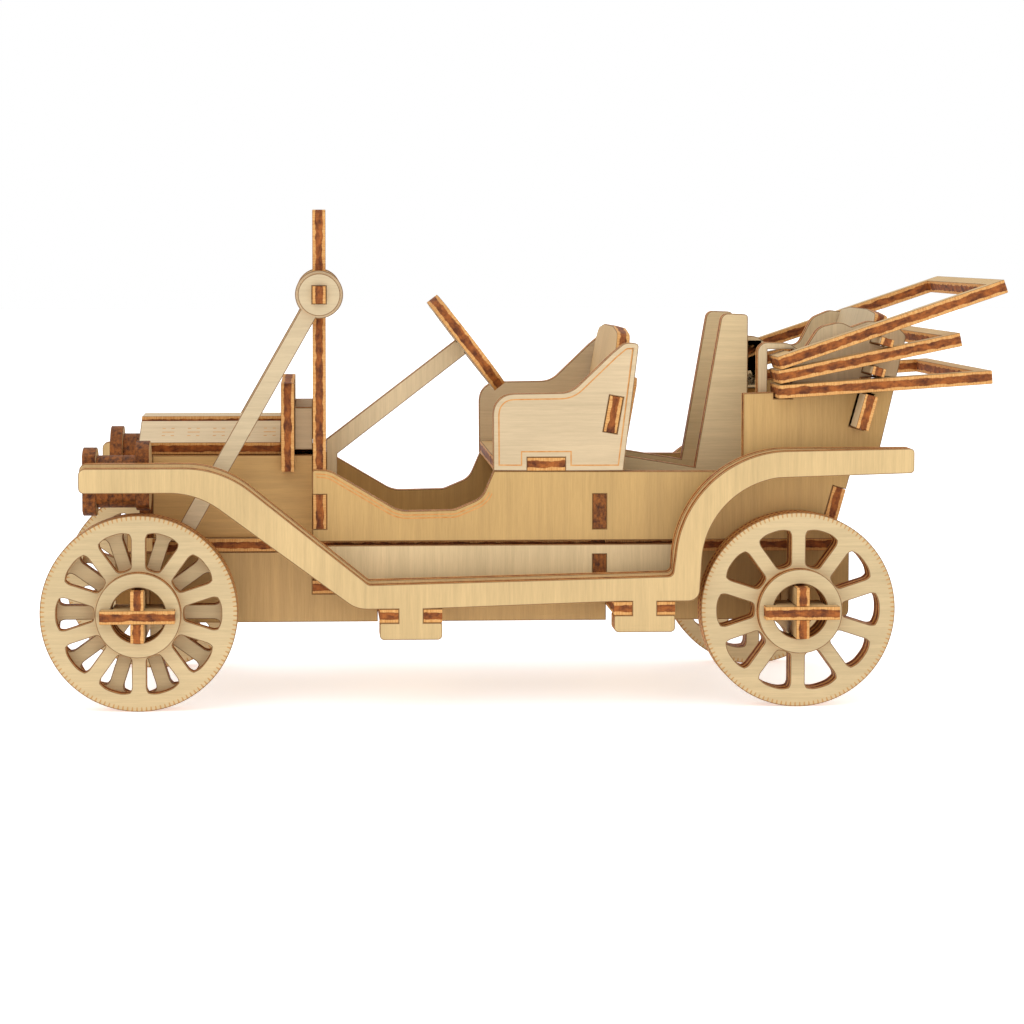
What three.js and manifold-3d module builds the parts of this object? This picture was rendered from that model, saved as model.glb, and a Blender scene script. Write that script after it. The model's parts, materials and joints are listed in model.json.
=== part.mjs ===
// Laser-cut plywood kit of an open vintage touring car, slotted together from flat plies.
// Millimetres, +Z up. The front of the car points to -X and its left side to -Y.
import * as THREE from 'three';
import { mergeVertices } from 'three/addons/utils/BufferGeometryUtils.js';
import Module from 'manifold-3d';

const wasm = await Module();
wasm.setup();

// Driving dimensions
const ply = 2.5;               // thickness of every sheet
const fit = 0.1;               // gap between a tab and its slot
const wheelRadius = 18.3;
const wheelInside = 24;        // inner face of the inner disc, from the middle plane
const hubHole = 5.15;
const hubRing = 7.9;
const spokeCount = 10;
const frontAxle = -32.9;
const rearAxle = 90.2;
const axleHalfHeight = 4.75;
const axleEnd = 34.3;
const frameInside = 15;        // inner face of the chassis sides
const frameBottom = 15;
const floorBottom = 28.5;
const floorTop = floorBottom + ply;
const bodyInside = 21;         // inner face of the body sides
const bodyOutside = bodyInside + ply;
const fenderInside = 26.5;
const fenderOutside = fenderInside + 2 * ply;
const hoodOutside = 16;
const windshieldX = -0.6;
const windshieldTop = 93.2;
const lampY = 22.5;
const lampZ = 42.4;
const backLean = THREE.MathUtils.degToRad(15.5);
const seatLean = THREE.MathUtils.degToRad(10);
const bowOutside = 28;
const bowArm = 3;

const tones = { face: 0xd9bd8c, pale: 0xe3cb9f, shade: 0xc9a873 };

const car = new THREE.Group();
car.name = 'wooden_touring_car';

// Directions a sheet can lie in: u and v in the sheet, thickness towards u x v
const alongX = new THREE.Vector3(1, 0, 0);
const alongY = new THREE.Vector3(0, 1, 0);
const alongZ = new THREE.Vector3(0, 0, 1);

// A closed outline from corners [u, v] or [u, v, radius]
function outline(corners, curve = new THREE.Shape()) {
  const count = corners.length;
  for (let i = 0; i < count; i += 1) {
    const [u, v, radius = 0] = corners[i];
    if (radius === 0) {
      if (i === 0) curve.moveTo(u, v);
      else curve.lineTo(u, v);
      continue;
    }
    const here = new THREE.Vector2(u, v);
    const before = new THREE.Vector2(...corners[(i + count - 1) % count].slice(0, 2)).sub(here);
    const after = new THREE.Vector2(...corners[(i + 1) % count].slice(0, 2)).sub(here);
    const half = Math.abs(before.angleTo(after)) / 2;
    const back = Math.min(radius / Math.tan(half), before.length() * 0.49, after.length() * 0.49);
    const start = here.clone().add(before.setLength(back));
    const end = here.clone().add(after.setLength(back));
    if (i === 0) curve.moveTo(start.x, start.y);
    else curve.lineTo(start.x, start.y);
    curve.quadraticCurveTo(u, v, end.x, end.y);
  }
  curve.closePath();
  return curve;
}

function box(u0, v0, u1, v1) {
  return [[u0, v0], [u1, v0], [u1, v1], [u0, v1]];
}

function arc(u, v, radius, from, to, steps) {
  const points = [];
  for (let i = 0; i <= steps; i += 1) {
    const angle = THREE.MathUtils.degToRad(from + (to - from) * i / steps);
    points.push([u + radius * Math.cos(angle), v + radius * Math.sin(angle)]);
  }
  return points;
}

function circle(radius, steps, u = 0, v = 0) {
  return arc(u, v, radius, 0, 360 - 360 / steps, steps - 1);
}

// Cut a sheet along its outline and set its corner at `origin`
function sheet(corners, holes, origin, u, v, thickness = ply, curveSegments = 3) {
  const shape = outline(corners);
  shape.holes = holes.map((hole) => outline(hole, new THREE.Path()));
  const geometry = new THREE.ExtrudeGeometry(shape, { depth: thickness, bevelEnabled: false, curveSegments });
  const place = new THREE.Matrix4().makeBasis(u, v, new THREE.Vector3().crossVectors(u, v));
  place.setPosition(...origin);
  return geometry.applyMatrix4(place);
}

function add(name, geometry, tone = 'face') {
  const material = new THREE.MeshStandardMaterial({ color: tones[tone], roughness: 0.8 });
  const mesh = new THREE.Mesh(geometry, material);
  mesh.name = name;
  car.add(mesh);
  return mesh;
}

// Sheets standing along the car: the outline is in x and z, `inside` and its mirror image in y
function sidePair(name, corners, holes, inside, tone = 'face', thickness = ply, curveSegments = 3) {
  add(`${name}_left`, sheet(corners, holes, [0, -inside, 0], alongX, alongZ, thickness, curveSegments), tone);
  const far = [0, inside + thickness, 0];
  add(`${name}_right`, sheet(corners, holes, far, alongX, alongZ, thickness, curveSegments), tone);
}

// Sheets standing across the car: the outline is in y and z
function across(name, corners, holes, x, tone = 'face') {
  add(name, sheet(corners, holes, [x, 0, 0], alongY, alongZ), tone);
}

// Sheets lying flat: the outline is in x and y
function flat(name, corners, holes, z, tone = 'face') {
  add(name, sheet(corners, holes, [0, 0, z], alongX, alongY), tone);
}

// Mirror the corners of a half outline, given from bottom to top on the +u side
function mirrored(half) {
  const other = half.map(([u, v, radius = 0]) => [-u, v, radius]).reverse();
  return [...half, ...other];
}

function toManifold(geometry) {
  const bare = new THREE.BufferGeometry();
  bare.setAttribute('position', geometry.getAttribute('position'));
  const merged = mergeVertices(geometry.index ? bare.setIndex(geometry.index) : bare, 1e-4);
  return new wasm.Manifold(new wasm.Mesh({
    numProp: 3,
    vertProperties: Float32Array.from(merged.getAttribute('position').array),
    triVerts: Uint32Array.from(merged.index.array),
  }));
}

function fromManifold(solid) {
  const mesh = solid.getMesh();
  const geometry = new THREE.BufferGeometry();
  geometry.setAttribute('position', new THREE.BufferAttribute(mesh.vertProperties, 3));
  geometry.setIndex(new THREE.BufferAttribute(mesh.triVerts, 1));
  geometry.computeVertexNormals();
  return geometry;
}

function joined(...geometries) {
  return fromManifold(wasm.Manifold.union(geometries.map(toManifold)));
}

// ---- Running gear ----

// Opening between two spokes, in the direction `angle` from the wheel's centre
function spokeHole(angle) {
  const spoke = 1.35;
  const half = Math.PI / spokeCount;
  const width = (radius) => radius * Math.tan(half) - spoke / Math.cos(half);
  const corners = [[8.3, -width(8.3), 1], [14.9, -width(14.9), 1.3], [15.3, 0], [14.9, width(14.9), 1.3],
    [8.3, width(8.3), 1]];
  const cos = Math.cos(angle);
  const sin = Math.sin(angle);
  return corners.map(([r, s, radius = 0]) => [r * cos - s * sin, r * sin + s * cos, radius]);
}

function wheelDisc(x, turn, from) {
  const pitch = 2 * Math.PI / spokeCount;
  const holes = [circle(hubHole, 20)];
  for (let i = 0; i < spokeCount; i += 1) holes.push(spokeHole(turn + i * pitch));
  return sheet(circle(wheelRadius, 48), holes, [x, from, wheelRadius], alongX, alongZ, ply, 2);
}

function wheel(name, x, side, innerTurn) {
  const face = (distance) => (side < 0 ? -distance : distance + ply);
  const spokeUp = Math.PI / spokeCount + Math.PI / 2;
  add(`${name}_inner_disc`, wheelDisc(x, spokeUp + innerTurn, face(wheelInside)), 'shade');
  add(`${name}_outer_disc`, wheelDisc(x, spokeUp, face(wheelInside + ply)), 'face');
  const ring = sheet(circle(hubRing, 32), [circle(hubHole, 20)],
    [x, face(wheelInside + 2 * ply), wheelRadius], alongX, alongZ);
  add(`${name}_hub_ring`, ring, 'pale');
}

// The flat key that crosses the end of an axle and keeps the wheel on
function axleKey(name, x, side) {
  const headHalf = 6.9;
  const head = wheelInside + 3 * ply + 0.15;
  const root = 24.5;
  const corners = [[x - axleHalfHeight, side * root], [x + axleHalfHeight, side * root],
    [x + axleHalfHeight, side * head], [x + headHalf, side * head], [x + headHalf, side * axleEnd],
    [x - headHalf, side * axleEnd], [x - headHalf, side * head], [x - axleHalfHeight, side * head]];
  flat(name, side < 0 ? corners.reverse() : corners, [], wheelRadius - ply / 2, 'shade');
}

function axle(name, x) {
  const slot = 24.4;
  const half = ply / 2 + fit / 2;
  const corners = mirrored([[axleEnd, -axleHalfHeight], [axleEnd, -half], [slot, -half], [slot, half],
    [axleEnd, half], [axleEnd, axleHalfHeight]]);
  add(name, sheet(corners, [], [x - ply / 2, 0, wheelRadius], alongY, alongZ), 'shade');
}

const halfPitch = Math.PI / spokeCount;
[['front', frontAxle, halfPitch], ['rear', rearAxle, 0]].forEach(([end, x, turn]) => {
  axle(`${end}_axle`, x);
  [['left', -1], ['right', 1]].forEach(([side, sign]) => {
    wheel(`wheel_${end}_${side}`, x, sign, turn);
    axleKey(`axle_key_${end}_${side}`, x, sign);
  });
});

// Cross beams under the frame, with an open slot at each end for the fender's neck
const frontBeam = { from: 11.7, to: 23.3, neckFrom: 15.2, neckTo: 19.8, bottom: 16.65 };
const rearBeam = { from: 55.3, to: 66.7, neckFrom: 58.7, neckTo: 63.3, bottom: 17.8 };

function crossBeam(name, beam) {
  const end = fenderOutside - fit;
  const slot = fenderInside - fit;
  const from = beam.neckFrom - fit / 2;
  const to = beam.neckTo + fit / 2;
  const corners = [[beam.from, -end], [from, -end], [from, -slot], [to, -slot], [to, -end], [beam.to, -end],
    [beam.to, end], [to, end], [to, slot], [from, slot], [from, end], [beam.from, end]];
  flat(name, corners, [], beam.bottom, 'shade');
}
crossBeam('cross_beam_front', frontBeam);
crossBeam('cross_beam_rear', rearBeam);

// Notch from below in the frame, from x to x and up to z
function notch(from, to, top) {
  return [[from - fit / 2, frameBottom], [from - fit / 2, top + fit / 2],
    [to + fit / 2, top + fit / 2], [to + fit / 2, frameBottom]];
}

const frameFront = -38;
const frameRear = 102;
const tie = { from: -0.7, to: 4.3, bottom: 20.4, slotTop: 24.4 };
const axleTop = wheelRadius + axleHalfHeight;
const frameOutline = [
  [frameFront, frameBottom, 2],
  ...notch(frontAxle - ply / 2, frontAxle + ply / 2, axleTop),
  ...notch(frontBeam.from, frontBeam.to, frontBeam.bottom + ply),
  ...notch(rearBeam.from, rearBeam.to, rearBeam.bottom + ply),
  ...notch(rearAxle - ply / 2, rearAxle + ply / 2, axleTop),
  [frameRear, frameBottom, 2],
  [frameRear, floorBottom - fit],
  [frameFront, floorBottom - fit],
];
const tieSlot = box(tie.from - fit / 2, tie.bottom - fit / 2, tie.to + fit / 2, tie.slotTop);
sidePair('chassis_side', frameOutline, [tieSlot], frameInside, 'shade');
flat('frame_tie', box(tie.from, -frameInside - ply, tie.to, frameInside + ply), [], tie.bottom, 'shade');

// ---- Fender and running board, one sheet doubled on each side ----

const archX = 88;
const archZ = 27;

// `proud` is how far the inner ply stands out at the front; it fades away towards the rear
function fenderOutline(proud) {
  const neck = (beam, board) => [
    [beam.neckTo, board], [beam.neckTo, beam.bottom - fit / 2], [beam.to, beam.bottom - fit / 2, 0.4],
    [beam.to, beam.bottom - 3.2, 1], [beam.from, beam.bottom - 3.2, 1],
    [beam.from, beam.bottom - fit / 2, 0.4], [beam.neckFrom, beam.bottom - fit / 2], [beam.neckFrom, board]];
  return [
    [-43.7, 45.5 + proud, 1.4],
    [-43.7, 40.9, 1.2],
    [-22, 40.9, 16],
    [7.4, frontBeam.bottom + ply + 0.05, 6],
    ...neck(frontBeam, frontBeam.bottom + ply + 0.05).reverse(),
    [rearBeam.from - fit, rearBeam.bottom + ply + 0.05],
    ...neck(rearBeam, rearBeam.bottom + ply + 0.05).reverse(),
    [71.2, rearBeam.bottom + ply + 0.05, 2.4],
    ...arc(archX, archZ, 16.4, 180, 96, 8),
    [111.4, 44.1, 0.9],
    [111.4, 48.7, 0.9],
    ...arc(archX, archZ, 21.3 + 0.5 * proud, 92, 176, 8),
    [66.3, 25 + 0.8 * proud, 1.2],
    [9.7, 23.7 + 0.8 * proud, 1.2],
    [-17.5, 45.5 + proud, 20],
  ];
}

function fender(name, side) {
  const near = side < 0;
  const at = (distance) => (near ? -distance : distance + ply);
  const inner = sheet(fenderOutline(0.7), [], [0, at(fenderInside), 0], alongX, alongZ);
  const outer = sheet(fenderOutline(0), [], [0, at(fenderInside + ply), 0], alongX, alongZ);
  add(name, joined(inner, outer), 'pale');
}
fender('fender_left', -1);
fender('fender_right', 1);

// ---- Floor and front seat bulkhead ----

const bulkhead = 52.1;
const bulkheadEdge = 18;
const floorRear = 99;
const floorHalf = [
  [-31, 17.5], [-28, 17.5], [-28, 22.4], [-23.4, 22.4], [-23.4, 17.5], [-0.7, 17.5], [-0.7, bodyInside - fit],
  [bulkhead - fit / 2, bodyInside - fit], [bulkhead - fit / 2, bulkheadEdge],
  [bulkhead + ply + fit / 2, bulkheadEdge], [bulkhead + ply + fit / 2, bodyInside - fit],
  [floorRear, bodyInside - fit]];
const floorOutline = [...floorHalf.map(([x, y]) => [x, -y]), ...floorHalf.slice().reverse()];
flat('floor_board', floorOutline, [], floorBottom, 'face');

const bodyTab = { bottom: 33.2, top: 39.7 };
const firewallTab = { bottom: 33.4, top: 39.8 };
const apronTab = { bottom: 24.6, top: 28.3 };
across('seat_bulkhead', mirrored([
  [bodyInside - fit, 43.4],
  [bodyInside - fit, bodyTab.top], [bodyOutside, bodyTab.top],
  [bodyOutside, bodyTab.bottom], [bodyInside - fit, bodyTab.bottom],
  [bodyInside - fit, apronTab.top], [bodyOutside, apronTab.top],
  [bodyOutside, apronTab.bottom], [bulkheadEdge + fit / 2, apronTab.bottom],
  [bulkheadEdge + fit / 2, floorTop + fit]].reverse()), [], bulkhead, 'shade');

// ---- Body sides and aprons ----

function slot(from, to, bottom, top) {
  return box(from - fit / 2, bottom - fit / 2, to + fit / 2, top + fit / 2);
}

// Horizontal shift of the leaning rear panel's front face at height z
const backBase = { x: 97.6, z: 40.7 };
const backAt = (z) => backBase.x + (z - backBase.z) * Math.tan(backLean);
const backThick = ply / Math.cos(backLean);
const backFoot = { bottom: 34.3, top: 41 };
const lowPeg = { bottom: 52.4, top: 58.8 };

// Four corners of the slot that a leaning sheet's tab needs, from its lower rear corner round to the upper
function leanSlot(frontAt, lean, bottom, top, rear = fit) {
  const corner = (z, depth) => [frontAt(z) + depth * Math.cos(lean), z - depth * Math.sin(lean)];
  return [corner(bottom - fit, ply + rear), corner(bottom - fit, -fit), corner(top + fit, -fit),
    corner(top + fit, ply + rear)];
}
// At the rear panel's foot they are notches, open to the rear
const rearNotch = ({ bottom, top }) => leanSlot(backAt, backLean, bottom, top, 0);
// Above the fender the side and the rack reach past the rear panel, with a lean of their own
const sideLean = THREE.MathUtils.degToRad(13.1);
const sideRear = (z) => 106.5 + (z - 48.1) * Math.tan(sideLean);
const sideStep = 45.5;
const sideTopRear = 59.6;
// The lowest bow's tongue passes over the side in a notch
const bowNotch = { from: 86.2, to: 89.8, bottom: 57.6 };
const bodyOutline = [
  [-0.7, floorTop],
  [backAt(floorTop) + backThick, floorTop],
  ...rearNotch(backFoot),
  [backAt(sideStep) + backThick, sideStep],
  [sideRear(sideStep), sideStep],
  [sideRear(sideTopRear), sideTopRear],
  [bowNotch.to, 58.95],
  [bowNotch.to, bowNotch.bottom],
  [bowNotch.from, bowNotch.bottom],
  [bowNotch.from, 58.8],
  [80.5, 58.6],
  [80.5, 43.9],
  [33.4, 44.1],
  [31.2, 39, 4],
  [26, 36.8, 3],
  [15.6, 36.6, 6],
  [2.6, 44.3, 5],
  [-0.7, 44.5, 0.6],
  [-0.7, firewallTab.top + fit / 2],
  [windshieldX + ply + fit / 2, firewallTab.top + fit / 2],
  [windshieldX + ply + fit / 2, firewallTab.bottom - fit / 2],
  [-0.7, firewallTab.bottom - fit / 2],
];
const lowPegSlot = leanSlot(backAt, backLean, lowPeg.bottom, lowPeg.top);
sidePair('body_side', bodyOutline,
  [slot(bulkhead, bulkhead + ply, bodyTab.bottom, bodyTab.top), lowPegSlot], bodyInside, 'face');

sidePair('apron', [[2, 23.2], [66.6, 23.2, 1], [67.6, 30.2], [2, 30.2]],
  [slot(bulkhead, bulkhead + ply, apronTab.bottom, apronTab.top)], bodyInside, 'pale');

// ---- Hood ----

const hoodFront = -33.6;
const cowlFormer = -6.6;
const hoodBack = cowlFormer - fit;
const sideTop = 46.7;
const slopeTop = { y: 6.5, z: 52.7 };
const slopeFoot = { y: 15.5, z: 49.1 };
const radiator = -33.5;

sidePair('hood_side', [[radiator + ply + 0.05, floorTop], [windshieldX - 0.05, floorTop],
  [windshieldX - 0.05, sideTop], [radiator + ply + 0.05, sideTop]], [], hoodOutside - ply, 'face');

// Sloped louvre panels: four corners seen from the front, pulled along the hood
const run = slopeFoot.y - slopeTop.y;
const drop = slopeTop.z - slopeFoot.z;
const length = Math.hypot(run, drop);
const inwards = { y: -ply * drop / length, z: -ply * run / length };
const slopeCorners = [
  [slopeTop.y, slopeTop.z],
  [slopeTop.y + inwards.y, slopeTop.z + inwards.z],
  [slopeFoot.y + inwards.y, slopeFoot.z + inwards.z],
  [slopeFoot.y, slopeFoot.z],
];
const slopeLength = hoodBack - hoodFront;
const slopeRight = sheet(slopeCorners, [], [hoodFront, 0, 0], alongY, alongZ, slopeLength);
const slopeLeft = sheet(slopeCorners.map(([y, z]) => [-y, z]).reverse(), [],
  [hoodFront, 0, 0], alongY, alongZ, slopeLength);
add('hood_slope_left', slopeLeft, 'pale');
add('hood_slope_right', slopeRight, 'pale');

const hoodTop = { half: 5.35, bottom: 51 };
flat('hood_top', box(hoodFront, -hoodTop.half, hoodBack, hoodTop.half), [], hoodTop.bottom, 'shade');

// Radiator board: the rounded ears behind the lamps are part of the same sheet
const earRadius = 6.5;
const earZ = 43.5;
const earFlat = fenderInside - fit;
const earAngle = THREE.MathUtils.radToDeg(Math.acos((earFlat - lampY) / earRadius));
across('radiator_board', mirrored([
  [15.9, floorTop],
  [15.9, 41.6],
  ...arc(lampY, earZ, earRadius, 214, 360 - earAngle, 6),
  ...arc(lampY, earZ, earRadius, earAngle, 148, 7),
  [14.4, 46.6],
  [5.4, 50.3],
]), [], radiator, 'shade');

// Headlamps: a thin front disc on a smaller barrel of plies, flat where they meet the fender.
// The right one sits a little higher, on a shorter barrel.
function lamp(name, side, height, barrelLength) {
  const flatOn = (radius) => {
    const angle = THREE.MathUtils.radToDeg(Math.acos(Math.min(1, (earFlat - lampY) / radius)));
    const corners = arc(lampY, height, radius, angle, 360 - angle, 14);
    return side > 0 ? corners : corners.map(([y, z]) => [-y, z]).reverse();
  };
  const front = radiator - barrelLength - ply;
  const disc = sheet(flatOn(6.4), [], [front, 0, 0], alongY, alongZ);
  const barrel = sheet(flatOn(4.9), [], [front + ply, 0, 0], alongY, alongZ, barrelLength);
  add(name, joined(disc, barrel), 'shade');
}
lamp('headlamp_left', -1, lampZ, 3 * ply - 0.1);
lamp('headlamp_right', 1, lampZ + 1, 2.2 * ply);

// Cowl former: slotted down over both hood sides
const formerHalf = 19;
const formerSlot = hoodOutside - ply - fit / 2;
across('cowl_former', mirrored([
  [formerSlot, 44],
  [formerSlot, sideTop + 0.05],
  [hoodOutside + fit / 2, sideTop + 0.05],
  [hoodOutside + fit / 2, 43.8],
  [formerHalf, 43.8],
  [formerHalf, 60.5, 0.6],
]), [], cowlFormer, 'shade');

const cowlHalf = 15.3;
const cowlFrom = cowlFormer + ply + 0.05;
const cowlTo = windshieldX - 0.05;
add('cowl_box', sheet(mirrored([[cowlHalf - ply, 47.7], [cowlHalf, 47.7], [cowlHalf, 55.7]]).concat([
  [-cowlHalf + ply, 47.7], [-cowlHalf + ply, 53.2], [cowlHalf - ply, 53.2]]), [],
[cowlFrom, 0, 0], alongY, alongZ, cowlTo - cowlFrom), 'pale');

// ---- Windshield ----

const frameHalf = 19.8;
const braceInside = 20;
const postPeg = { z: 77.3, half: 1.6, end: 26.1 };
const windowHalf = 15.4;
across('windshield_firewall', mirrored([
  [bodyInside - fit, floorTop + fit],
  [bodyInside - fit, firewallTab.bottom], [bodyOutside, firewallTab.bottom],
  [bodyOutside, firewallTab.top], [bodyInside - fit, firewallTab.top],
  [bodyInside - fit, 44.4], [frameHalf, 46],
  [frameHalf, postPeg.z - postPeg.half], [postPeg.end, postPeg.z - postPeg.half],
  [postPeg.end, postPeg.z + postPeg.half], [frameHalf, postPeg.z + postPeg.half],
  [frameHalf, windshieldTop, 1.5],
]), [
  [[-windowHalf, 78.9, 1], [windowHalf, 78.9, 1], [windowHalf, 89.2, 1], [-windowHalf, 89.2, 1]],
  [[-windowHalf, 64.2, 1], [windowHalf, 64.2, 1], [windowHalf, 75.7, 1], [-windowHalf, 75.7, 1]],
], windshieldX, 'face');

const pegX = windshieldX + ply / 2;
const braceFoot = { x: -25.6, z: floorTop + 0.05 };
const braceHalf = 1.6;
const pegSlot = slot(windshieldX, windshieldX + ply, postPeg.z - postPeg.half, postPeg.z + postPeg.half);
const braceAngle = THREE.MathUtils.radToDeg(Math.atan2(postPeg.z - braceFoot.z, pegX - braceFoot.x));
const braceSide = braceHalf / Math.sin(THREE.MathUtils.degToRad(braceAngle));
// Each brace carries a round cap glued to its head, and the windshield's peg goes through both
function brace(name, side) {
  const at = (distance) => (side < 0 ? -distance : distance + ply);
  const strip = sheet([
    ...arc(pegX, postPeg.z, 4.5, braceAngle - 159, braceAngle + 159, 18),
    [braceFoot.x - braceSide, braceFoot.z],
    [braceFoot.x + braceSide, braceFoot.z],
  ], [pegSlot], [0, at(braceInside), 0], alongX, alongZ);
  const cap = sheet(circle(3.95, 20, pegX, postPeg.z), [pegSlot], [0, at(braceInside + ply), 0], alongX, alongZ);
  add(name, joined(strip, cap), 'face');
}
brace('windshield_brace_left', -1);
brace('windshield_brace_right', 1);

// ---- Steering ----

const steerY = 10;
const column = { x: 3.1, z: 48 };
const wheelCentre = { x: 28.8, z: 67.8 };
const rise = Math.atan2(wheelCentre.z - column.z, wheelCentre.x - column.x);
const upColumn = new THREE.Vector3(Math.cos(rise), 0, Math.sin(rise));
const acrossColumn = new THREE.Vector3(-Math.sin(rise), 0, Math.cos(rise));
const columnHalf = 1.65;
const tenon = 1.3;

// A point in the column's own plane, `along` it from the wheel's lower face and `off` its middle line
function onColumn(along, off) {
  const reach = Math.hypot(wheelCentre.x - column.x, wheelCentre.z - column.z) - ply / 2 + along;
  return [column.x + reach * Math.cos(rise) - off * Math.sin(rise),
    column.z + reach * Math.sin(rise) + off * Math.cos(rise)];
}
const columnFrom = steerY - ply / 2;
add('steering_column', sheet([
  [windshieldX + ply + 0.05, floorTop + 0.1], [4.1, floorTop + 0.1], [4.1, 46.6],
  onColumn(-0.05, -columnHalf), onColumn(-0.05, -tenon), onColumn(ply, -tenon), onColumn(ply, tenon),
  onColumn(-0.05, tenon), onColumn(-0.05, columnHalf), [windshieldX + ply + 0.05, 49.3],
], [], [0, -columnFrom, 0], alongX, alongZ), 'face');

// The steering wheel lies square to the column, on its far end
const steerRadius = 10.7;
const spokeHalf = 1.1;
const quarter = (sx, sy) => {
  const inner = steerRadius - 2.3;
  const corners = [[spokeHalf + 1, spokeHalf + 1.5], ...arc(0, 0, inner, 12, 78, 5)];
  const turned = corners.map(([u, v]) => [u * sx, v * sy]);
  return sx * sy > 0 ? turned : turned.reverse();
};
const columnSlot = box(-tenon - 0.05, -ply / 2 - 0.05, tenon + 0.05, ply / 2 + 0.05);
const steerHoles = [columnSlot, ...[[1, 1], [-1, 1], [-1, -1], [1, -1]].map(([sx, sy]) => quarter(sx, sy)
  .map(([u, v]) => [u + 0.6 * sx, v + 0.6 * sy]))];
const steerOrigin = new THREE.Vector3(wheelCentre.x, -steerY, wheelCentre.z)
  .addScaledVector(upColumn, -ply / 2);
add('steering_wheel', sheet(circle(steerRadius, 40), steerHoles, steerOrigin.toArray(),
  acrossColumn, alongY.clone().negate()), 'face');

// ---- Front seat ----

// Tilt of the seat back: front face through seatBase
const seatBase = { x: 53.2, z: 46.8 };
const seatAt = (z) => seatBase.x + (z - seatBase.z) * Math.tan(seatLean);
const seatThick = ply / Math.cos(seatLean);
const seatTab = { bottom: 51.6, top: 58.3 };
const seatPad = { from: 39.7, to: 46.8, bottom: 44.15 };
const seatSlot = leanSlot(seatAt, seatLean, seatTab.bottom, seatTab.top).reverse();
const padTop = seatPad.bottom + ply;
sidePair('front_seat_side', [
  [33.3, 44.2],
  [seatPad.from - fit / 2, 44.15], [seatPad.from - fit / 2, padTop + fit / 2],
  [seatPad.to + fit / 2, padTop + fit / 2], [seatPad.to + fit / 2, 44.1],
  [57.8, 44.1],
  [60.7, 68.1, 0.8],
  [58, 68.2, 2],
  [55.7, 66.3, 3],
  [47.9, 58.8, 5],
  [33.2, 58.6, 4.4],
], [seatSlot], bodyInside, 'pale');

const padEnd = seatAt(padTop) - 0.2;
flat('front_seat_base', [
  [seatPad.from, -bodyOutside], [seatPad.to, -bodyOutside], [seatPad.to, -bodyInside + fit],
  [padEnd, -bodyInside + fit], [padEnd, bodyInside - fit], [seatPad.to, bodyInside - fit],
  [seatPad.to, bodyOutside], [seatPad.from, bodyOutside], [seatPad.from, bodyInside - fit],
  [33.4, bodyInside - fit], [33.4, -bodyInside + fit], [seatPad.from, -bodyInside + fit],
], [], seatPad.bottom, 'shade');

// Sheets that lean back: the outline is in y and in the distance up the slope from height `base`
function leaning(name, half, lean, x, base, tone) {
  const up = new THREE.Vector3(Math.sin(lean), 0, Math.cos(lean));
  const corners = mirrored(half).map(([y, z, radius = 0]) => [y, (z - base) / Math.cos(lean), radius]);
  add(name, sheet(corners, [], [x, 0, base], alongY, up), tone);
}

leaning('front_seat_back', [
  [bodyInside - fit, padTop + 0.1],
  [bodyInside - fit, seatTab.bottom], [bodyOutside, seatTab.bottom],
  [bodyOutside, seatTab.top], [bodyInside - fit, seatTab.top],
  [19.2, 59.6],
  [19.2, 69.7, 4.5],
  [8, 70.9, 8],
], seatLean, seatAt(padTop + 0.1), padTop + 0.1, 'face');
const backRestFrom = 47.2;
leaning('front_seat_rest', [[bodyInside - 0.6, backRestFrom], [bodyInside - 0.6, 60.4], [19, 61.8, 1]],
  seatLean, seatAt(backRestFrom) + seatThick + 0.05, backRestFrom, 'shade');

// ---- Rear seat ribs ----

sidePair('rear_seat_rib', [
  [56.2, floorTop + 0.1],
  [83.2, floorTop + 0.1],
  [83.2, 73.2, 0.8],
  [78.2, 73.4, 1.6],
  [73.1, 43.7],
  [56.2, 46.5, 0.6],
], [], 8.75, 'face');

// ---- Rear panel ----

const pegEnd = 29;
const pegs = [{ bottom: 62.5, top: 64 }, { bottom: 68.12, top: 69.45 }];
const rackOutside = bodyInside - fit;
const pegCorners = ({ bottom, top }, from) => [
  [from, bottom], [pegEnd, bottom, 0.3], [pegEnd, top, 0.3], [from, top]];
const backInside = 17.9;
const rackStep = 61.4;
const panelFrom = floorTop + ply * Math.sin(backLean) + fit;
leaning('rear_panel', [
  [rackOutside, panelFrom],
  [rackOutside, backFoot.bottom], [bodyOutside, backFoot.bottom],
  [bodyOutside, backFoot.top], [rackOutside, backFoot.top],
  ...pegCorners(lowPeg, rackOutside),
  [rackOutside, rackStep - ply],
  [backInside, rackStep - ply],
  ...pegCorners(pegs[0], backInside),
  ...pegCorners(pegs[1], backInside),
  [backInside, 73.5, 3.5],
  [8, 74.2, 6],
], backLean, backAt(panelFrom), panelFrom, 'face');

// ---- Folded top: three U-shaped bows held by a rack on each side and by the rear pegs ----

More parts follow.
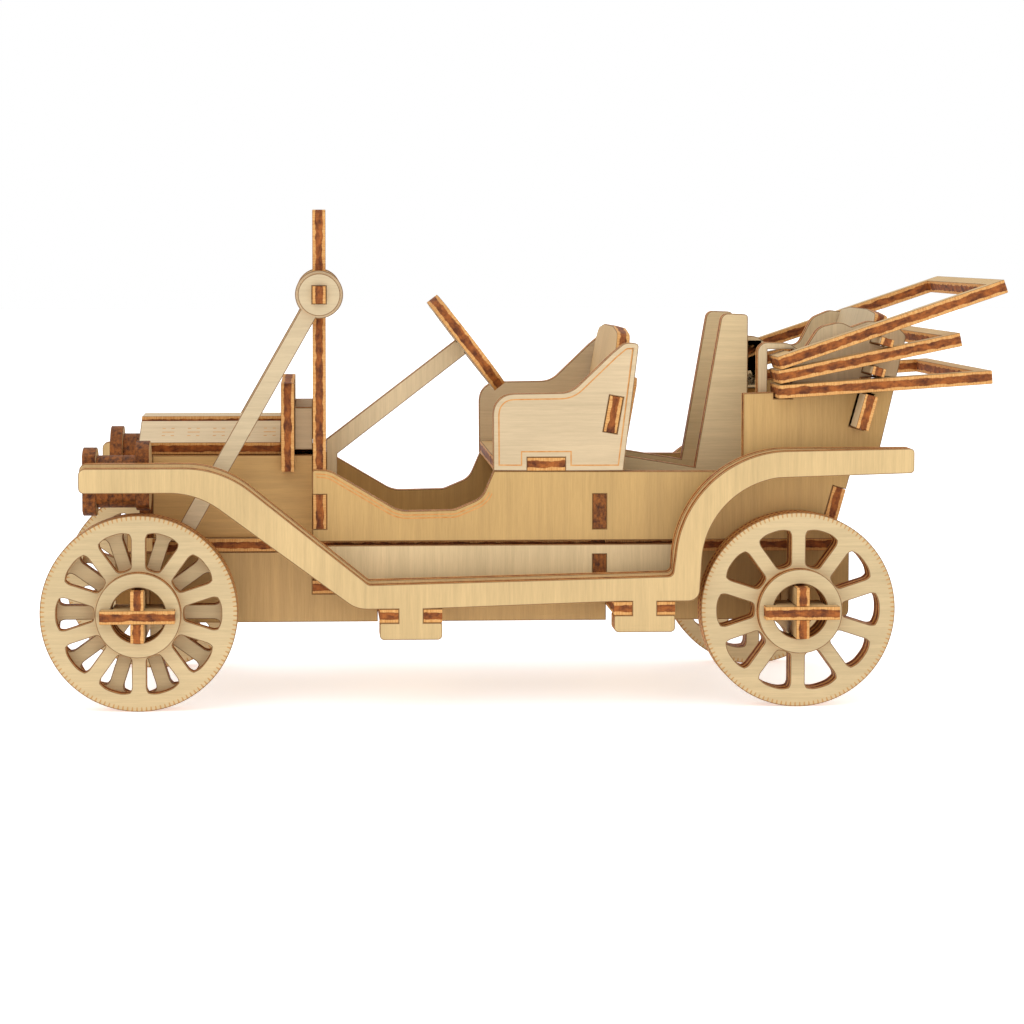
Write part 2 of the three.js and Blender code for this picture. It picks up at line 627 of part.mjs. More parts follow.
const rackInside = 18;
const bowFront = 86.5;
const bowTongue = 3;
const bows = [
  { z: 64.45, end: { x: 129.3, z: 78.9 } },
  { z: 61.85, end: { x: 120.9, z: 68.9 } },
  { z: 59.1, end: { x: 126.9, z: 61.8 } },
];
bows.forEach((bow, index) => {
  const slope = Math.atan2(bow.end.z - bow.z, bow.end.x - bowFront);
  const reach = Math.hypot(bow.end.z - bow.z, bow.end.x - bowFront);
  const inside = bowOutside - bowArm;
  const along = new THREE.Vector3(Math.cos(slope), 0, Math.sin(slope));
  const up = new THREE.Vector3(-Math.sin(slope), 0, Math.cos(slope));
  const origin = new THREE.Vector3(bowFront, 0, bow.z).addScaledVector(up, -ply / 2);
  const half = [[0, rackInside], [bowTongue, rackInside], [bowTongue, inside], [reach - bowArm, inside]];
  const corners = [
    ...half.map(([u, y]) => [u, y]).reverse(),
    [0, bowOutside, 0.5], [reach, bowOutside, 0.8], [reach, -bowOutside, 0.8], [0, -bowOutside, 0.5],
    ...half.map(([u, y]) => [u, -y]),
  ].reverse();
  add(`top_bow_${index + 1}`, sheet(corners, [], origin.toArray(), along, alongY), 'shade');
  bow.hole = [[-fit, -ply / 2 - fit], [bowTongue + fit, -ply / 2 - fit], [bowTongue + fit, ply / 2 + fit],
    [-fit, ply / 2 + fit]].map(([u, v]) => [bowFront + u * along.x + v * up.x, bow.z + u * along.z + v * up.z]);
});

// One tall opening in each rack takes the tongues of all three bows
const rackSlot = [
  [bowFront - 1, bows[2].hole[0][1] - 0.1],
  [bows[2].hole[1][0] + 0.4, bows[2].hole[0][1] - 0.1],
  [bows[0].hole[1][0] + 0.4, bows[0].hole[2][1] + 0.1],
  [bowFront - 1, bows[0].hole[2][1] + 0.1],
];
const rackHoles = [rackSlot, ...pegs.map(({ bottom, top }) => leanSlot(backAt, backLean, bottom, top))];
const rackFront = 83.6;
const rackRear = (z) => 109.4 + (z - 58.1) * Math.tan(sideLean);
const rackEdge = [
  [rackFront, floorTop + 0.1],
  [backAt(floorTop + 0.1) - fit, floorTop + 0.1],
  [backAt(rackStep) - fit, rackStep],
  [rackRear(rackStep), rackStep],
  [rackRear(69.4), 69.4, 1.4],
];
// The folded cloth stands up in lobes, which differ from side to side
const lobesLeft = [
  [109.8, 71.6, 2], [104.8, 72.2, 3], [101.5, 71, 0.6], [99.4, 72, 3], [95.3, 71, 3.2], [92.2, 66.2, 2],
  [89.6, 68, 3], [rackFront, 68.2, 2.2]];
const lobesRight = [
  [109.8, 72.6, 2], [104.6, 73.3, 3], [101, 71.8, 3], [98.2, 66.3, 2], [92.2, 66.2, 2],
  [89.6, 68, 3], [rackFront, 68.2, 2.2]];
add('bow_rack_left', sheet([...rackEdge, ...lobesLeft], rackHoles, [0, -rackInside, 0], alongX, alongZ), 'face');
add('bow_rack_right', sheet([...rackEdge, ...lobesRight], rackHoles, [0, rackInside + ply, 0],
  alongX, alongZ), 'face');

// ---- Centre the car over the origin, wheels on z = 0 ----

const bounds = new THREE.Box3().setFromObject(car);
const middle = (bounds.min.x + bounds.max.x) / 2;
car.traverse((node) => {
  if (node.isMesh) node.geometry.translate(-middle, 0, 0);
});

export default car;
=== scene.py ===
# Slotted plywood touring car: every sheet is cut again with bevelled, laser-burnt edges and wood grain
import json
import math
import bpy
import numpy as np
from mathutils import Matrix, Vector
from mathutils.geometry import tessellate_polygon


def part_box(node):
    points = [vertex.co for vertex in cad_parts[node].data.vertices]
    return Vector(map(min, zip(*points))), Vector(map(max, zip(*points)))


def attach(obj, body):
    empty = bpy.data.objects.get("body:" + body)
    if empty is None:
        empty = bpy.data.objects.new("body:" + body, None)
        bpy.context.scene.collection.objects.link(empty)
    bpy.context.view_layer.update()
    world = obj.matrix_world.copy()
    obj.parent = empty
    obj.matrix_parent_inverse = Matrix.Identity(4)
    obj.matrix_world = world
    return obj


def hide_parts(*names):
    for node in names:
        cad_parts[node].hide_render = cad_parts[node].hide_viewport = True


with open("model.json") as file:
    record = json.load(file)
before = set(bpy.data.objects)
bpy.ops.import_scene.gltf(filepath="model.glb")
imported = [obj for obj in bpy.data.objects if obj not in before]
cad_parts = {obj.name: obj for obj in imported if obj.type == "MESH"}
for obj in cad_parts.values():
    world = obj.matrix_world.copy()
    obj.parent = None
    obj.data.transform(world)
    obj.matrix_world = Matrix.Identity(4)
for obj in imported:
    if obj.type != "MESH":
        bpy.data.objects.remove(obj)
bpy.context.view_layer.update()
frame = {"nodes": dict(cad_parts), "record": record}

mm = 0.001
slotOf = {part["node"]: part["material_slot"] for part in frame["record"]["subparts"]}
bodyOf = {node: body for body, nodes in frame["record"]["behaviour"]["bodies"].items() for node in nodes}

cutting = {
    "ply": 2.5,            # thickness of the plywood, mm
    "bevel": 0.07,         # edge worn off by handling
    "burn": 0.3,           # width of the scorched rim on a face
    "sharpTurn": 40,       # degrees: a larger turn of the outline stays a corner
    "longStraight": 6.0,   # mm: a longer step of the outline stays straight
    "parts": 4,            # pieces that a chord of a round stretch is cut into
}
print("frame loaded:", len(slotOf), "pieces of wood")


def meshArrays(node):
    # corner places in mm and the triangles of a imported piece, with shared corners merged
    mesh = frame["nodes"][node].data
    places = np.empty(len(mesh.vertices) * 3)
    mesh.vertices.foreach_get("co", places)
    mesh.calc_loop_triangles()
    corners = np.empty(len(mesh.loop_triangles) * 3, int)
    mesh.loop_triangles.foreach_get("vertices", corners)
    places, merged = np.unique(np.round(places.reshape(-1, 3) / mm, 3), axis=0, return_inverse=True)
    return places, merged.reshape(-1)[corners].reshape(-1, 3)


def unit(vectors):
    return vectors / np.linalg.norm(vectors, axis=-1, keepdims=True)


def sheetNormal(places, triangles):
    # the direction that most of the surface faces: area vectors, summed by their rounded direction
    first, second, third = (places[triangles[:, k]] for k in range(3))
    areas = np.cross(second - first, third - first) / 2
    size = np.linalg.norm(areas, axis=1)
    areas, size = areas[size > 1e-6], size[size > 1e-6]
    areas = areas * np.sign(areas @ np.array([1.0, -0.1, 0.8]))[:, None]
    key, group = np.unique(np.round(areas / size[:, None], 2), axis=0, return_inverse=True)
    best = np.argmax(np.bincount(group.reshape(-1), weights=size, minlength=len(key)))
    return unit(areas[group.reshape(-1) == best].sum(0))


def sheetAxes(normal):
    # u lies level in the sheet and v completes it, so that u x v is the normal
    u = np.array([0.0, 1.0, 0.0]) if abs(normal[0]) > 0.6 else np.array([1.0, 0.0, 0.0])
    u = unit(u - normal * (u @ normal))
    return u, np.cross(normal, u)


def orderedFrom(start, follow):
    # walks a closed chain by doubling: the list of places reached after 0, 1, 2, ... steps
    path, jump = np.array([start]), follow
    while not (path[1:] == start).any():
        path = np.concatenate([path, jump[path]])
        jump = jump[jump]
    return path[: 1 + np.argmax(path[1:] == start)]


def faceLoops(places, triangles, axes, end):
    # closed outlines of the flat face at one end of a sheet, with the wood on their left
    u, v, normal = axes
    depth = places @ normal
    level = depth.max() if end > 0 else depth.min()
    face = triangles[np.abs(depth[triangles] - level).max(1) < 0.02]
    if end < 0:
        face = face[:, ::-1]
    starts, ends = face.reshape(-1), np.roll(face, -1, axis=1).reshape(-1)
    open_ = ~np.isin(starts * len(places) + ends, ends * len(places) + starts)
    follow = np.arange(len(places))
    follow[starts[open_]] = ends[open_]
    waiting = set(starts[open_].tolist())
    loops = []
    while waiting:
        path = orderedFrom(min(waiting), follow)
        waiting -= set(path.tolist())
        loops.append(np.stack([places[path] @ u, places[path] @ v], axis=1))
    return loops


def turns(points):
    ahead = np.roll(points, -1, 0) - points
    length = np.linalg.norm(ahead, axis=1)
    ahead = ahead / length[:, None]
    behind = np.roll(ahead, 1, 0)
    cross = behind[:, 0] * ahead[:, 1] - behind[:, 1] * ahead[:, 0]
    return ahead, behind, length, np.arctan2(cross, (ahead * behind).sum(1))


def roundOff(points):
    # a Hermite cubic on each chord of a round stretch; long straights and sharp corners stay
    for _ in range(2):
        points = points[np.abs(turns(points)[3]) > math.radians(0.4)]
    ahead, behind, length, turn = turns(points)
    soft = np.abs(turn) < math.radians(cutting["sharpTurn"])
    before = np.where(soft, np.roll(length, 1), np.inf)
    after = np.where(np.roll(soft, -1), np.roll(length, -1), np.inf)
    straight = (length > cutting["longStraight"]) | (length > 2.5 * np.minimum(before, after))
    soft &= ~(straight & np.roll(straight, 1))
    tangent = ahead * np.roll(length, 1)[:, None] + behind * length[:, None]
    tangent = np.where(straight[:, None], ahead, tangent)
    tangent = unit(np.where(np.roll(straight, 1)[:, None], behind, tangent))
    nextSoft, nextTangent = np.roll(soft, -1), np.roll(tangent, -1, 0)
    mirrored = lambda way: 2 * (way * ahead).sum(1)[:, None] * ahead - way
    leave = np.where(soft[:, None], tangent, mirrored(nextTangent)) * length[:, None]
    arrive = np.where(nextSoft[:, None], nextTangent, mirrored(tangent)) * length[:, None]
    s = (np.arange(cutting["parts"]) / cutting["parts"])[None, :, None]
    curve = ((2 * s**3 - 3 * s**2 + 1) * points[:, None] + (s**3 - 2 * s**2 + s) * leave[:, None]
             + (3 * s**2 - 2 * s**3) * np.roll(points, -1, 0)[:, None] + (s**3 - s**2) * arrive[:, None])
    keep = np.ones(curve.shape[:2], bool)
    keep[:, 1:] = (~straight & (soft | nextSoft))[:, None]
    return curve[keep]


def slid(points, distance):
    # moves each corner along its mitre, into the wood on its left
    ahead, behind, _, _ = turns(points)
    left = lambda way: np.stack([-way[:, 1], way[:, 0]], axis=1)
    mitre = left(ahead) + left(behind)
    return points + distance * mitre / np.maximum((mitre**2).sum(1, keepdims=True) / 2, 0.35)


def fill(loops, flip):
    # triangles that cover the outlines' inside, all turned the same way
    flat = np.concatenate(loops)
    found = tessellate_polygon([[Vector((x, y, 0)) for x, y in loop.tolist()] for loop in loops])
    found = np.array(found)
    first, second, third = (flat[found[:, k]] for k in range(3))
    a, b = second - first, third - first
    wrong = (a[:, 0] * b[:, 1] - a[:, 1] * b[:, 0] < 0) != flip
    found[wrong] = found[wrong][:, ::-1]
    return found


def ring(start, count, rows):
    # quads between neighbouring rows of a closed grid
    row, column = np.meshgrid(np.arange(rows - 1), np.arange(count), indexing="ij")
    nextColumn = (column + 1) % count
    quad = np.stack([row * count + column, row * count + nextColumn,
                     (row + 1) * count + nextColumn, (row + 1) * count + column], axis=-1)
    return quad.reshape(-1, 4) + start


def cutSheet(loops, base, thickness, plain=False):
    # the edge's section is carried round every outline: inset from the cut, height above the base,
    # and how burnt it is (0 face, 1 scorched line, 2 cut wall); both faces are then filled.
    # A plain sheet has square edges
    bevel, burn = cutting["bevel"], cutting["burn"]
    section = np.array([[burn, 0, 0], [bevel, 0, 1], [0, bevel, 2],
                        [0, thickness - bevel, 2], [bevel, thickness, 1], [burn, thickness, 0]])
    if plain:
        section = np.array([[0, 0, 2], [0, thickness, 2]])
    verts, burnt, quads, triangles = [], [], [], []
    start = 0
    rims = ([], [])
    rimIndex = ([], [])
    for loop in loops:
        count = len(loop)
        rows = [np.column_stack([slid(loop, inset), np.full(count, height)])
                for inset, height, _ in section]
        verts += rows
        burnt.append(np.repeat(section[:, 2], count))
        quads.append(ring(start, count, len(section)))
        for side, row in ((0, 0), (1, len(section) - 1)):
            rims[side].append(rows[row][:, :2])
            rimIndex[side].append(start + row * count + np.arange(count))
        start += count * len(section)
    for side in (0, 1):
        triangles.append(np.concatenate(rimIndex[side])[fill(rims[side], side == 0)])
    verts = np.concatenate(verts)
    height = verts[:, 2].copy()
    verts[:, 2] += base
    return {"verts": verts, "burnt": np.concatenate(burnt), "height": height,
            "quads": np.concatenate(quads), "triangles": np.concatenate(triangles)}


def placed(sheet, axes, seed, grainTurn):
    # sheet coordinates to the frame, and the grain's own coordinates: along, across and through the ply
    u, v, normal = axes
    local = sheet["verts"]
    sheet["places"] = local @ np.stack([u, v, normal])
    shift = np.random.default_rng(seed).uniform(-400, 400, 2)
    along, across = (local[:, 1], local[:, 0]) if grainTurn else (local[:, 0], local[:, 1])
    sheet["grain"] = np.stack([along + shift[0], across + shift[1], sheet["height"]], axis=1)
    return sheet


def joinSheets(sheets):
    total, quads, triangles = 0, [], []
    for sheet in sheets:
        quads.append(sheet["quads"] + total)
        triangles.append(sheet["triangles"] + total)
        total += len(sheet["places"])
    stack = lambda key: np.concatenate([sheet[key] for sheet in sheets])
    return {"places": stack("places"), "grain": stack("grain"), "burnt": stack("burnt"),
            "quads": np.concatenate(quads), "triangles": np.concatenate(triangles)}


def makePiece(name, shape, material, node, replaced=()):
    # puts the arrays into a mesh, in metres, with its attributes and its ride
    mesh = bpy.data.meshes.new(name)
    faces = shape["quads"].tolist() + shape["triangles"].tolist()
    mesh.from_pydata((shape["places"] * mm).tolist(), [], faces)
    for key in ("grain", "hub"):
        if key in shape:
            layer = mesh.attributes.new(key, "FLOAT_VECTOR", "POINT")
            layer.data.foreach_set("vector", shape[key].astype(np.float32).reshape(-1))
    layer = mesh.attributes.new("burnt", "FLOAT", "POINT")
    layer.data.foreach_set("value", shape["burnt"].astype(np.float32))
    mesh.polygons.foreach_set("use_smooth", np.ones(len(faces), bool))
    mesh.set_sharp_from_angle(angle=math.radians(28))
    mesh.materials.append(material)
    mesh.update()
    piece = bpy.data.objects.new(name, mesh)
    bpy.context.scene.collection.objects.link(piece)
    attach(piece, bodyOf[node])
    if replaced:
        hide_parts(*replaced)
    return piece


def wire(tree, kind, inputs=None, **settings):
    # adds a node, sets its properties and fills its sockets with values or links
    node = tree.nodes.new("ShaderNode" + kind)
    for key, value in settings.items():
        setattr(node, key, value)
    for key, value in (inputs or {}).items():
        if hasattr(value, "is_output"):
            tree.links.new(value, node.inputs[key])
        else:
            node.inputs[key].default_value = value
    return node


def ramp(tree, value, stops):
    node = wire(tree, "ValToRGB", {0: value})
    points = node.color_ramp.elements
    while len(points) < len(stops):
        points.new(1.0)
    for point, (place, colour) in zip(points, stops):
        point.position = place
        point.color = linear(colour)
    return node.outputs[0]


def linear(colour):
    # "rrggbb" as printed on a colour chart, or a grey from 0 to 1 used as it is
    if not isinstance(colour, str):
        return (colour, colour, colour, 1)
    parts = [int(colour[k:k + 2], 16) / 255 for k in (0, 2, 4)]
    return (*[p / 12.92 if p < 0.04045 else ((p + 0.055) / 1.055) ** 2.4 for p in parts], 1)


def blend(tree, amount, first, second, mode="MIX"):
    return wire(tree, "MixRGB", {0: amount, 1: first, 2: second}, blend_type=mode).outputs[0]


def maths(tree, operation, *values, clamp=False):
    return wire(tree, "Math", dict(enumerate(values)), operation=operation, use_clamp=clamp).outputs[0]


wood = {
    "streak": 0.06, "cloud": 0.07, "fibre": 0.07,       # how far each grain pattern darkens the face
    "veneerDark": "b9793b", "veneerLight": "dba765",    # the pale plies in a cut edge
    "coreDark": "5a2a0c", "coreLight": "a85e24",        # the scorched middle ply
    "charDark": "3f1f0c", "charLight": "93551f",        # a wall that is burnt all over
    "scorch": "5a3415",                                 # the burnt line round a cut
    "coreShare": 0.29,                                  # half of the middle ply's share of the thickness
    "grainBump": 0.08,
    "streaks": (0.012, 0.9, 0.9), "fibres": (0.22, 4.2, 4.2), "clouds": (0.03, 0.05, 0.05),   # per mm
    "coreWobble": (0.5, 0.5, 0.3), "wobbleSize": 0.9,   # how unevenly the core meets the veneers
    "edgeLines": (5.0, 5.0, 0.25), "scorchSpots": (0.5, 0.5, 0.9), "charSpots": (0.9, 0.9, 1.1),
    "tickCount": 128, "tickReach": 0.9, "rimRadius": 18.3,   # ticks round the wheels, mm
    "tickHalf": 0.27, "tickTaper": 0.16,                # a tick's half width, and its loss per mm inwards
    "tickStrength": 0.85,
    "tick": "b98548",
    "engraved": "bf7c39", "engravedLight": "d29a5c", "engravedScale": 900.0,
}
# face colour of the pieces whose node starts with a name, and of every other piece by its slot, with light
# and shade painted in: each tone carries the light or shade that falls on that piece, so body_side and
# chassis_side are darker with painted shade where they sit back under the body, and apron is paler with
# painted light where it faces the light
tonesWithPaintedLight = {
    "fender": "d8b984", "body_side": "cda76b", "apron": "e0c596", "hood_side": "d8ae70",
    "hood_slope": "e0c8a2", "hood_top": "e0c8a2",
    "front_seat_side": "d8c09a", "rear_seat_rib": "e2c89a", "bow_rack": "dcc49c",
    "chassis_side": "c8a36c", "steering_column": "d9c098", "steering_wheel": "d9c098",
    "windshield_brace": "dcc6a0", "cowl_box": "dcc29c", "wheel_": "d8bf92", "rear_panel": "dcc49c",
    # plywood_shaded is a darker copy of the face tone: painted shade on the pieces of that slot
    "plywood_face": "dab782", "plywood_pale": "dfc390", "plywood_shaded": "d6b27c",
}
charred = ("headlamp", "radiator_board", "seat_bulkhead")   # pieces with walls burnt all over


def plywood(name, tone, ticked=False, burntOver=False):
    # the face's tone, darkened by three grain patterns, then a banded or charred edge and the scorched line
    material = bpy.data.materials.new(name)
    material.use_nodes = True
    tree = material.node_tree
    shader = tree.nodes["Principled BSDF"]
    grain = wire(tree, "Attribute", attribute_name="grain").outputs["Vector"]
    burnt = wire(tree, "Attribute", attribute_name="burnt").outputs["Fac"]

    def noise(scale, detail=4.0, roughness=0.55):
        spot = wire(tree, "Mapping", {"Vector": grain, "Scale": scale}).outputs[0]
        return wire(tree, "TexNoise", {"Vector": spot, "Scale": 1.0, "Detail": detail,
                                       "Roughness": roughness}).outputs["Fac"]

    streaks = noise(wood["streaks"], 4.0, 0.6)
    fibres = noise(wood["fibres"], 5.0, 0.7)
    clouds = noise(wood["clouds"], 2.0)
    face = linear(tone)
    for pattern, depth in ((streaks, wood["streak"]), (clouds, wood["cloud"]), (fibres, wood["fibre"])):
        face = blend(tree, 1.0, face, ramp(tree, pattern, [(0.3, 1 - 2 * depth), (0.66, 1.0)]), "MULTIPLY")

    height = wire(tree, "SeparateXYZ", {0: grain}).outputs["Z"]
    middle = maths(tree, "ABSOLUTE", maths(tree, "SUBTRACT", height, cutting["ply"] / 2))
    uneven = maths(tree, "SUBTRACT", noise(wood["coreWobble"]), 0.5)
    wobble = maths(tree, "MULTIPLY", uneven, wood["wobbleSize"])
    half = wood["coreShare"] * cutting["ply"]
    sharp = 9.0   # the core fades into the veneers over 1/9 mm
    core = maths(tree, "MULTIPLY_ADD", maths(tree, "ADD", middle, wobble), -sharp, half * sharp, clamp=True)
    lines = noise(wood["edgeLines"], 3.0, 0.7)
    scorchSpots = noise(wood["scorchSpots"], 4.0, 0.65)
    veneer = ramp(tree, lines, [(0.3, wood["veneerDark"]), (0.62, wood["veneerLight"])])
    dark = ramp(tree, scorchSpots, [(0.36, wood["coreDark"]), (0.66, wood["coreLight"])])
    dark = blend(tree, 0.6, dark, ramp(tree, lines, [(0.3, 0.7), (0.6, 1.0)]), "MULTIPLY")
    wall = blend(tree, core, veneer, dark)
    if burntOver:
        wall = ramp(tree, noise(wood["charSpots"], 5.0, 0.7),
                    [(0.36, wood["charDark"]), (0.62, wood["charLight"])])

    edgeShare = maths(tree, "MULTIPLY", burnt, 0.5)   # 0 on the face, 0.5 on the line, 1 on the wall
    onWall = ramp(tree, edgeShare, [(0.7, 0.0), (0.8, 1.0)])
    line = ramp(tree, edgeShare, [(0.2, 0.0), (0.5, 0.9), (0.68, 1.0), (0.97, 0.0)])
    colour = blend(tree, onWall, face, wall)
    if ticked:
        fromHub = wire(tree, "Attribute", attribute_name="hub").outputs["Vector"]
        hub = wire(tree, "SeparateXYZ", {0: fromHub})
        angle = maths(tree, "ARCTAN2", hub.outputs["Y"], hub.outputs["X"])
        turn = maths(tree, "FRACT", maths(tree, "MULTIPLY", angle, wood["tickCount"] / (2 * math.pi)))
        aside = maths(tree, "ABSOLUTE", maths(tree, "SUBTRACT", turn, 0.5))
        flat = wire(tree, "CombineXYZ", {0: hub.outputs["X"], 1: hub.outputs["Y"]}).outputs[0]
        across = wire(tree, "VectorMath", {0: flat}, operation="LENGTH").outputs["Value"]
        inside = maths(tree, "SUBTRACT", wood["rimRadius"], across)
        width = maths(tree, "MULTIPLY_ADD", inside, -wood["tickTaper"], wood["tickHalf"])
        narrow = maths(tree, "MULTIPLY", maths(tree, "SUBTRACT", width, aside), 14.0, clamp=True)
        within = maths(tree, "SUBTRACT", wood["tickReach"], inside)
        near = maths(tree, "MULTIPLY", within, 9.0, clamp=True)
        tick = maths(tree, "MULTIPLY", narrow, near)
        tickDepth = maths(tree, "MULTIPLY", tick, wood["tickStrength"])
        colour = blend(tree, tickDepth, colour, linear(wood["tick"]))
    colour = blend(tree, line, colour, linear(wood["scorch"]))
    bump = wire(tree, "Bump", {"Height": fibres, "Strength": wood["grainBump"], "Distance": 0.0001})
    tree.links.new(bump.outputs[0], shader.inputs["Normal"])
    tree.links.new(colour, shader.inputs["Base Color"])
    tree.links.new(ramp(tree, fibres, [(0.3, 0.78), (0.7, 0.6)]), shader.inputs["Roughness"])
    shader.inputs["Specular IOR Level"].default_value = 0.3
    return material


made = {}


def materialFor(node):
    # one material for each tone, carrying that tone's painted shade or painted light, with ticks on the
    # wheel discs and burnt walls where named
    tone = next((key for key in tonesWithPaintedLight if node.startswith(key)), slotOf[node])
    ticked = node.startswith("wheel") and node.endswith("disc")
    burntOver = node.startswith(charred)
    name = "plywood_" + tone.strip("_") + ("_ticked" if ticked else "") + ("_charred" if burntOver else "")
    if name not in made:
        made[name] = plywood(name, tonesWithPaintedLight[tone], ticked, burntOver)
    return made[name]


def engravedLine():
    material = bpy.data.materials.new("engravedLine")
    material.use_nodes = True
    tree = material.node_tree
    shader = tree.nodes["Principled BSDF"]
    spot = wire(tree, "TexCoord").outputs["Object"]
    speckle = wire(tree, "TexNoise", {"Vector": spot, "Scale": wood["engravedScale"]}).outputs["Fac"]
    colour = ramp(tree, speckle, [(0.3, wood["engraved"]), (0.7, wood["engravedLight"])])
    tree.links.new(colour, shader.inputs["Base Color"])
    shader.inputs["Roughness"].default_value = 0.8
    return material


engravedWood = engravedLine()
print("plywood mixed")


grainAcross = ("body_side", "fender", "apron", "windshield_firewall", "steering_column", "front_seat_back",
               "rear_panel", "radiator_board", "bow_rack", "chassis_side")   # grain along v in these sheets


def sheetsOf(node):
    # one sheet for most pieces; a doubled, stacked or folded piece gives several
    places, triangles = meshArrays(node)
    normal = sheetNormal(places, triangles)
    axes = (*sheetAxes(normal), normal)
    depth = places @ normal
    low, high = depth.min(), depth.max()
    ply = cutting["ply"]
    if node == "cowl_box":
        return cowlSheets(node)
    top = lambda: [roundOff(loop) for loop in faceLoops(places, triangles, axes, 1)]
    under = lambda: [roundOff(loop) for loop in faceLoops(places, triangles, axes, -1)]
    if node.startswith(("fender", "windshield_brace")):
        return [(top(), high - ply, ply, axes), (under(), low, ply, axes)]
    if node.startswith("headlamp"):
        barrel = high - low - ply
        count = round(barrel / ply)
        stack = [(top(), low + ply + k * barrel / count, barrel / count, axes) for k in range(count)]
        return [(under(), low, ply, axes), *stack]
    return [(top(), low, high - low, axes)]


def cowlSheets(node):
    # the cowl box is a level top board between two upright side boards
    low, high = (np.array(corner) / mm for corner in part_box(node))
    ply = cutting["ply"]
    rectangle = lambda a, b, c, d: [np.array([[a, b], [c, b], [c, d], [a, d]])]
    side = np.array([0.0, -1.0, 0.0])
    up = np.array([0.0, 0.0, 1.0])
    boards = []
    for outer in (low[1], high[1] - ply):
        outline = rectangle(low[0], low[2], high[0], high[2])
        boards.append((outline, -outer - ply, ply, (*sheetAxes(side), side)))
    boards.append((rectangle(low[0], low[1] + ply, high[0], high[1] - ply), high[2] - ply, ply,
                   (*sheetAxes(up), up)))
    return boards


outlines = {}
for number, node in enumerate(sorted(slotOf)):
    grainTurn = node.startswith(grainAcross)
    sheets = []
    for index, (loops, base, thickness, axes) in enumerate(sheetsOf(node)):
        sheet = placed(cutSheet(loops, base, thickness), axes, number * 10 + index, grainTurn)
        if node.startswith("wheel"):
            centre = sum(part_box(node), Vector()) / 2 / mm
            middle = np.array([np.array(centre) @ axes[0], np.array(centre) @ axes[1], 0])
            sheet["hub"] = sheet["verts"] - middle
        outlines.setdefault(node, []).append((loops, base, thickness, axes))
        sheets.append(sheet)
    shape = joinSheets(sheets)
    if "hub" in sheets[0]:
        shape["hub"] = sheets[0]["hub"]
    makePiece(node + "_sheet", shape, materialFor(node), node, replaced=(node,))
print("sheets cut:", len(outlines))

engraving = {
    "width": 0.24, "proud": 0.015,          # a line's width, and its height over the face, mm
    "seatInset": 0.95,                      # from the front seat side's edge
    "bodyInsets": (0.6, 1.2),               # the double line under the body's upper edge
    "frontShare": 0.72, "topShare": 0.2,    # the part of the body's outline that has the double line
    "louvreGroups": 5, "louvreFrom": 0.2, "louvreStep": 0.18,   # places along the hood slope, as shares
    "louvreRows": (0.35, 0.52, 0.68),       # places down the slope, as shares
    "longDash": 2.3, "shortDash": 0.6,      # mm
}


def strip(points, inset):
    # a closed ribbon outline that runs along an open path and back, one line width further in
    ahead = np.gradient(points, axis=0)
    left = unit(np.stack([-ahead[:, 1], ahead[:, 0]], axis=1))
    near, far = points + left * inset, points + left * (inset + engraving["width"])
    return [np.concatenate([near, far[::-1]])]


def border(loop, inset):
    # a closed ribbon all round an outline
    return [slid(loop, inset), slid(loop, inset + engraving["width"])[::-1]]


def dash(middle, length):
    half = np.array([length, engraving["width"]]) / 2
    return [middle + half * np.array([[-1, -1], [1, -1], [1, 1], [-1, 1]])]


def engrave(node, ribbons):
    # lays ribbons on the outer face of a piece, in the face's own coordinates
    _, base, thickness, axes = outlines[node][0]
    outward = axes[2] @ (np.array(sum(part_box(node), Vector())) / 2)
    level = base + thickness if outward > 0 else base - engraving["proud"]
    sheets = [placed(cutSheet(loops, level, engraving["proud"], plain=True), axes, index, False)
              for index, loops in enumerate(ribbons)]
    makePiece(node + "_lines", joinSheets(sheets), engravedWood, node)


for side in ("left", "right"):
    engrave("front_seat_side_" + side, [border(outlines["front_seat_side_" + side][0][0][0],
                                               engraving["seatInset"])])

    loops = outlines["body_side_" + side][0][0]
    edge = max(loops, key=len)
    low, high = edge.min(0), edge.max(0)
    share = (edge - low) / (high - low)
    upper = (share[:, 0] < engraving["frontShare"]) & (share[:, 1] > engraving["topShare"])
    first = np.argmax(upper & ~np.roll(upper, 1))
    run = np.roll(edge, -first, 0)[: upper.sum()][1:-3]
    engrave("body_side_" + side, [strip(run, inset) for inset in engraving["bodyInsets"]])

    loops = outlines["hood_slope_" + side][0][0]
    low, high = loops[0].min(0), loops[0].max(0)
    ribbons = []
    for group in range(engraving["louvreGroups"]):
        along = engraving["louvreFrom"] + group * engraving["louvreStep"]
        for row, down in enumerate(engraving["louvreRows"]):
            middle = low + (high - low) * np.array([along, 1 - down])
            if row == 1:
                ribbons.append(dash(middle, engraving["longDash"]))
            else:
                apart = (engraving["longDash"] - engraving["shortDash"]) / 2
                ribbons += [dash(middle + np.array([way * apart, 0]), engraving["shortDash"])
                            for way in (-1, 1)]
    engrave("hood_slope_" + side, ribbons)
print("lines engraved")


studio = {
    "world": 1.0, "floorGlow": 0.5, "floorHalf": 3.0,
    "key": 2.4, "keySize": 0.9, "keyFrom": (-0.55, -0.75, 0.95),
    "fill": 0.8, "fillSize": 1.2, "fillFrom": (0.9, -0.5, 0.6),
    "cameraAt": (-0.039, -0.534, 0.087), "lens": 96,
    "turn": 2.8, "dip": 3.5, "shift": (0.06, -0.10),
}


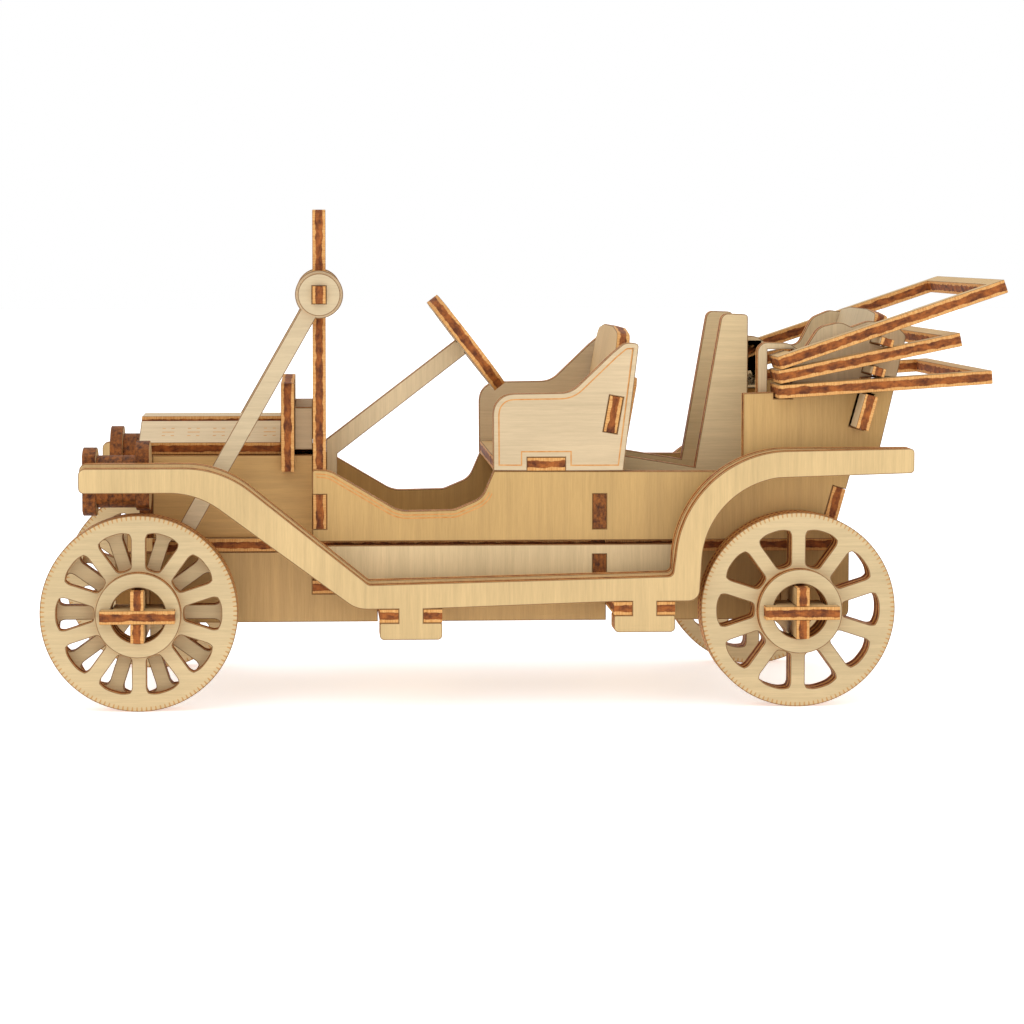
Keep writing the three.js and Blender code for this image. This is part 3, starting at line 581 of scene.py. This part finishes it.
def floorPiece():
    size = studio["floorHalf"]
    mesh = bpy.data.meshes.new("floor")
    corners = [(-size, -size, 0), (size, -size, 0), (size, size, 0), (-size, size, 0)]
    mesh.from_pydata(corners, [], [(0, 1, 2, 3)])
    material = bpy.data.materials.new("paleFloor")
    material.use_nodes = True
    tree = material.node_tree
    shader = tree.nodes["Principled BSDF"]
    spot = wire(tree, "TexCoord").outputs["Object"]
    tone = wire(tree, "TexNoise", {"Vector": spot, "Scale": 3.0}).outputs["Fac"]
    tree.links.new(ramp(tree, tone, [(0.3, 0.95), (0.7, 0.97)]), shader.inputs["Base Color"])
    shader.inputs["Roughness"].default_value = 0.9
    shader.inputs["Emission Color"].default_value = (1, 1, 1, 1)
    shader.inputs["Emission Strength"].default_value = studio["floorGlow"]
    mesh.materials.append(material)
    floor = bpy.data.objects.new("floor", mesh)
    bpy.context.scene.collection.objects.link(floor)


def softLight(name, power, size, place):
    light = bpy.data.lights.new(name, "AREA")
    light.energy, light.shape, light.size = power, "DISK", size
    lamp = bpy.data.objects.new(name, light)
    lamp.location = place
    lamp.rotation_euler = (Vector((0, 0, 0.03)) - Vector(place)).to_track_quat("-Z", "Y").to_euler()
    bpy.context.scene.collection.objects.link(lamp)


floorPiece()
softLight("keyLight", studio["key"], studio["keySize"], studio["keyFrom"])
softLight("fillLight", studio["fill"], studio["fillSize"], studio["fillFrom"])
world = bpy.data.worlds.new("studio")
world.use_nodes = True
world.node_tree.nodes["Background"].inputs["Color"].default_value = (1, 1, 1, 1)
world.node_tree.nodes["Background"].inputs["Strength"].default_value = studio["world"]
bpy.context.scene.world = world
bpy.context.scene.view_settings.view_transform = "Standard"

camera = bpy.data.objects.new("camera", bpy.data.cameras.new("camera"))
camera.data.lens = studio["lens"]
camera.data.shift_x, camera.data.shift_y = studio["shift"]
camera.data.clip_start = 0.01
camera.location = studio["cameraAt"]
camera.rotation_euler = (math.radians(90 - studio["dip"]), 0, math.radians(-studio["turn"]))
bpy.context.scene.collection.objects.link(camera)
bpy.context.scene.camera = camera
print("studio lit")
